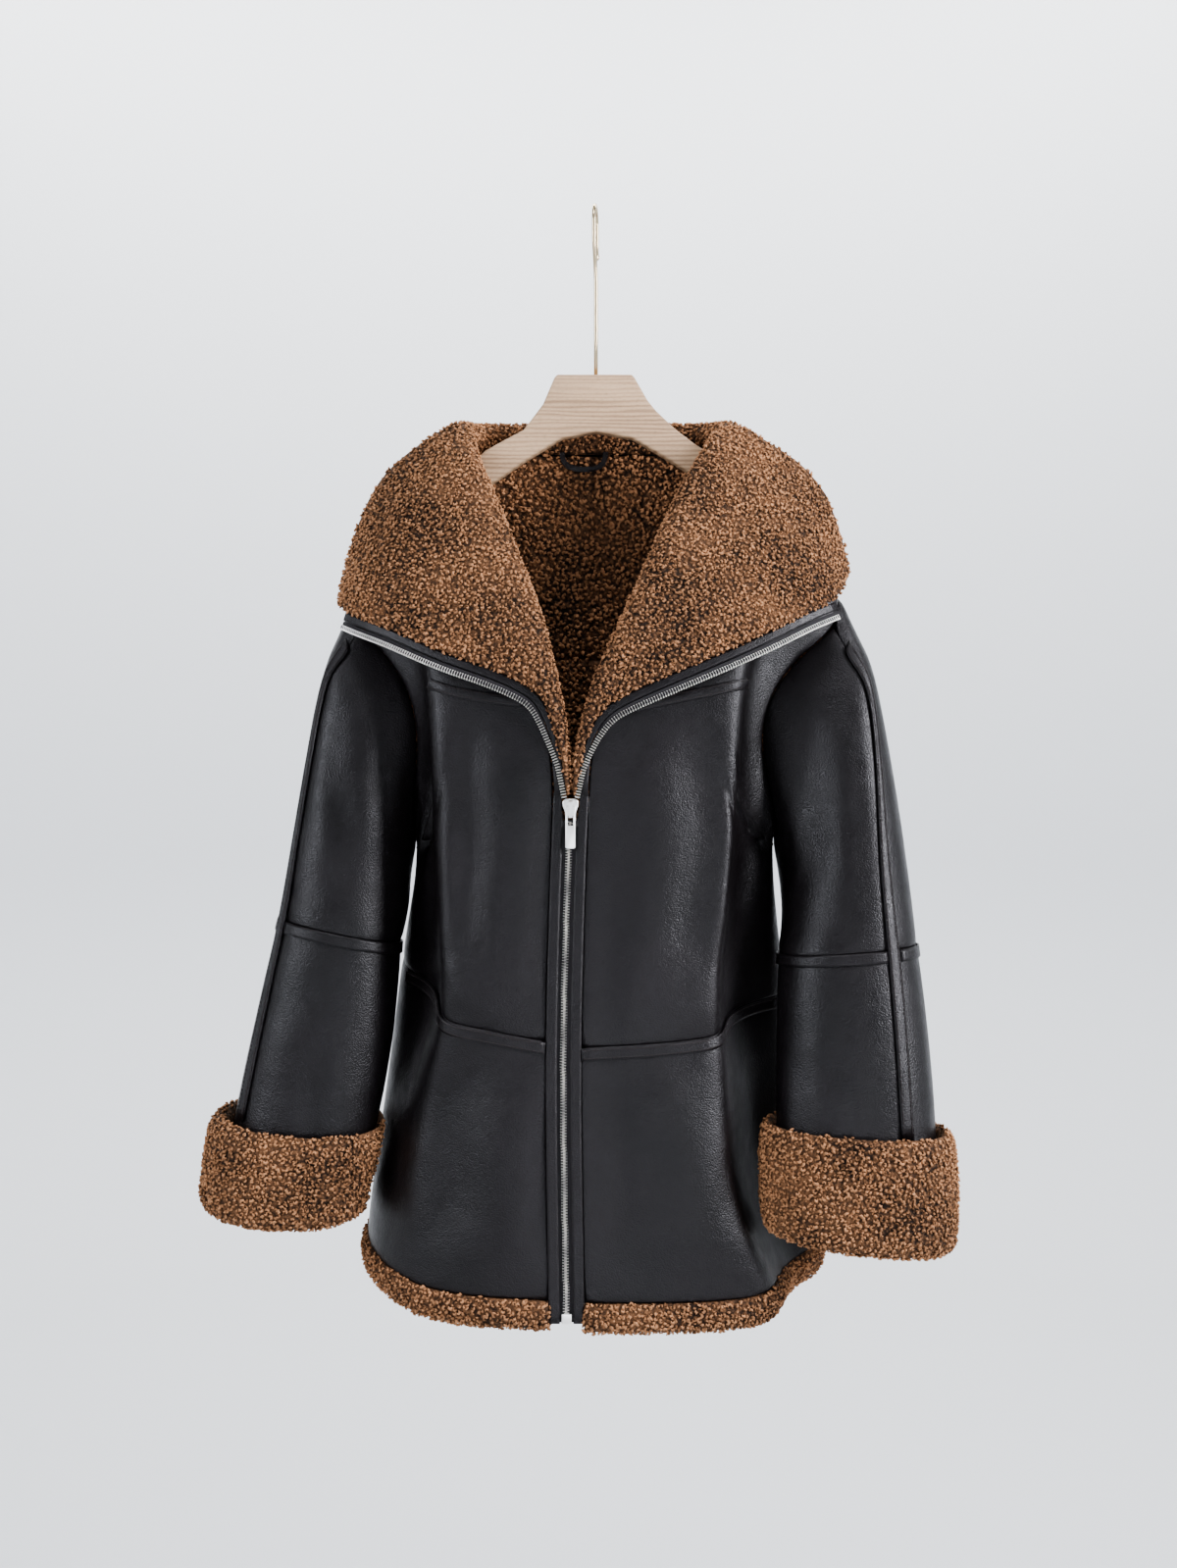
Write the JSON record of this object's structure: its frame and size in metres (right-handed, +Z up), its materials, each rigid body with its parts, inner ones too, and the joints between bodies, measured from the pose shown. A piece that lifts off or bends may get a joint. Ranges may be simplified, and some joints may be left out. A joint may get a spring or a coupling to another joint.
{
  "type": "leather coat on a hanger",
  "caption": "Hip-length dark brown leather coat with curly wool inside, wide rolled collar, zip front, turned-back wool cuffs and wool hem, on a wooden hanger.",
  "frame": {"origin": "inner crown of the hanger's hook, where it rests on a rail", "axes": "+Z up, the coat's front faces -Y, +X is to the right of someone who looks at the front"},
  "size_m": [0.6378, 0.2248, 0.9553],
  "materials": {
    "leather": "pebbled, soft sheen",
    "strip_leather": "pebbled, soft sheen",
    "wool": "curly wool",
    "zip_tape_cloth": "woven, matt",
    "zip_metal": "satin nickel",
    "wood": "raw, fine sanded",
    "hook_wire": "bright plated"
  },
  "bodies": {
    "coat": {"back_lower_left": "leather", "back_lower_right": "leather", "back_yoke_left": "leather", "back_yoke_right": "leather", "bottom_stop": "zip_metal", "collar": "wool", "cuff_left": "wool", "cuff_right": "wool", "elbow_band_left": "strip_leather", "elbow_band_right": "strip_leather", "facing_strip_left": "strip_leather", "facing_strip_right": "strip_leather", "front_lower_left": "leather", "front_lower_right": "leather", "front_upper_left": "leather", "front_upper_right": "leather", "hanger": "wood", "hem_wool_back": "wool", "hem_wool_front_left": "wool", "hem_wool_front_right": "wool", "hook": "hook_wire", "lapel_left": "wool", "lapel_right": "wool", "neck_loop": "strip_leather", "placket_left": "strip_leather", "placket_right": "strip_leather", "pocket_strip_left": "strip_leather", "pocket_strip_right": "strip_leather", "sleeve_lower_back_left": "leather", "sleeve_lower_back_right": "leather", "sleeve_lower_front_left": "leather", "sleeve_lower_front_right": "leather", "sleeve_strap_left": "strip_leather", "sleeve_strap_right": "strip_leather", "sleeve_upper_back_left": "leather", "sleeve_upper_back_right": "leather", "sleeve_upper_front_left": "leather", "sleeve_upper_front_right": "leather", "slider": "zip_metal", "zip_chain": "zip_metal", "zip_side_left": "zip_metal", "zip_side_right": "zip_metal", "zip_tape_left": "zip_tape_cloth", "zip_tape_right": "zip_tape_cloth"},
    "pull_tab": {"pull_tab": "zip_metal"}
  },
  "joints": [
    {"name": "pull_tab_hinge", "type": "hinge", "parent": "coat", "child": "pull_tab", "pos_m": [-0.02084, -0.09129, -0.524], "axis": [-1, 0, 0], "range_deg": [0, 165]}
  ]
}
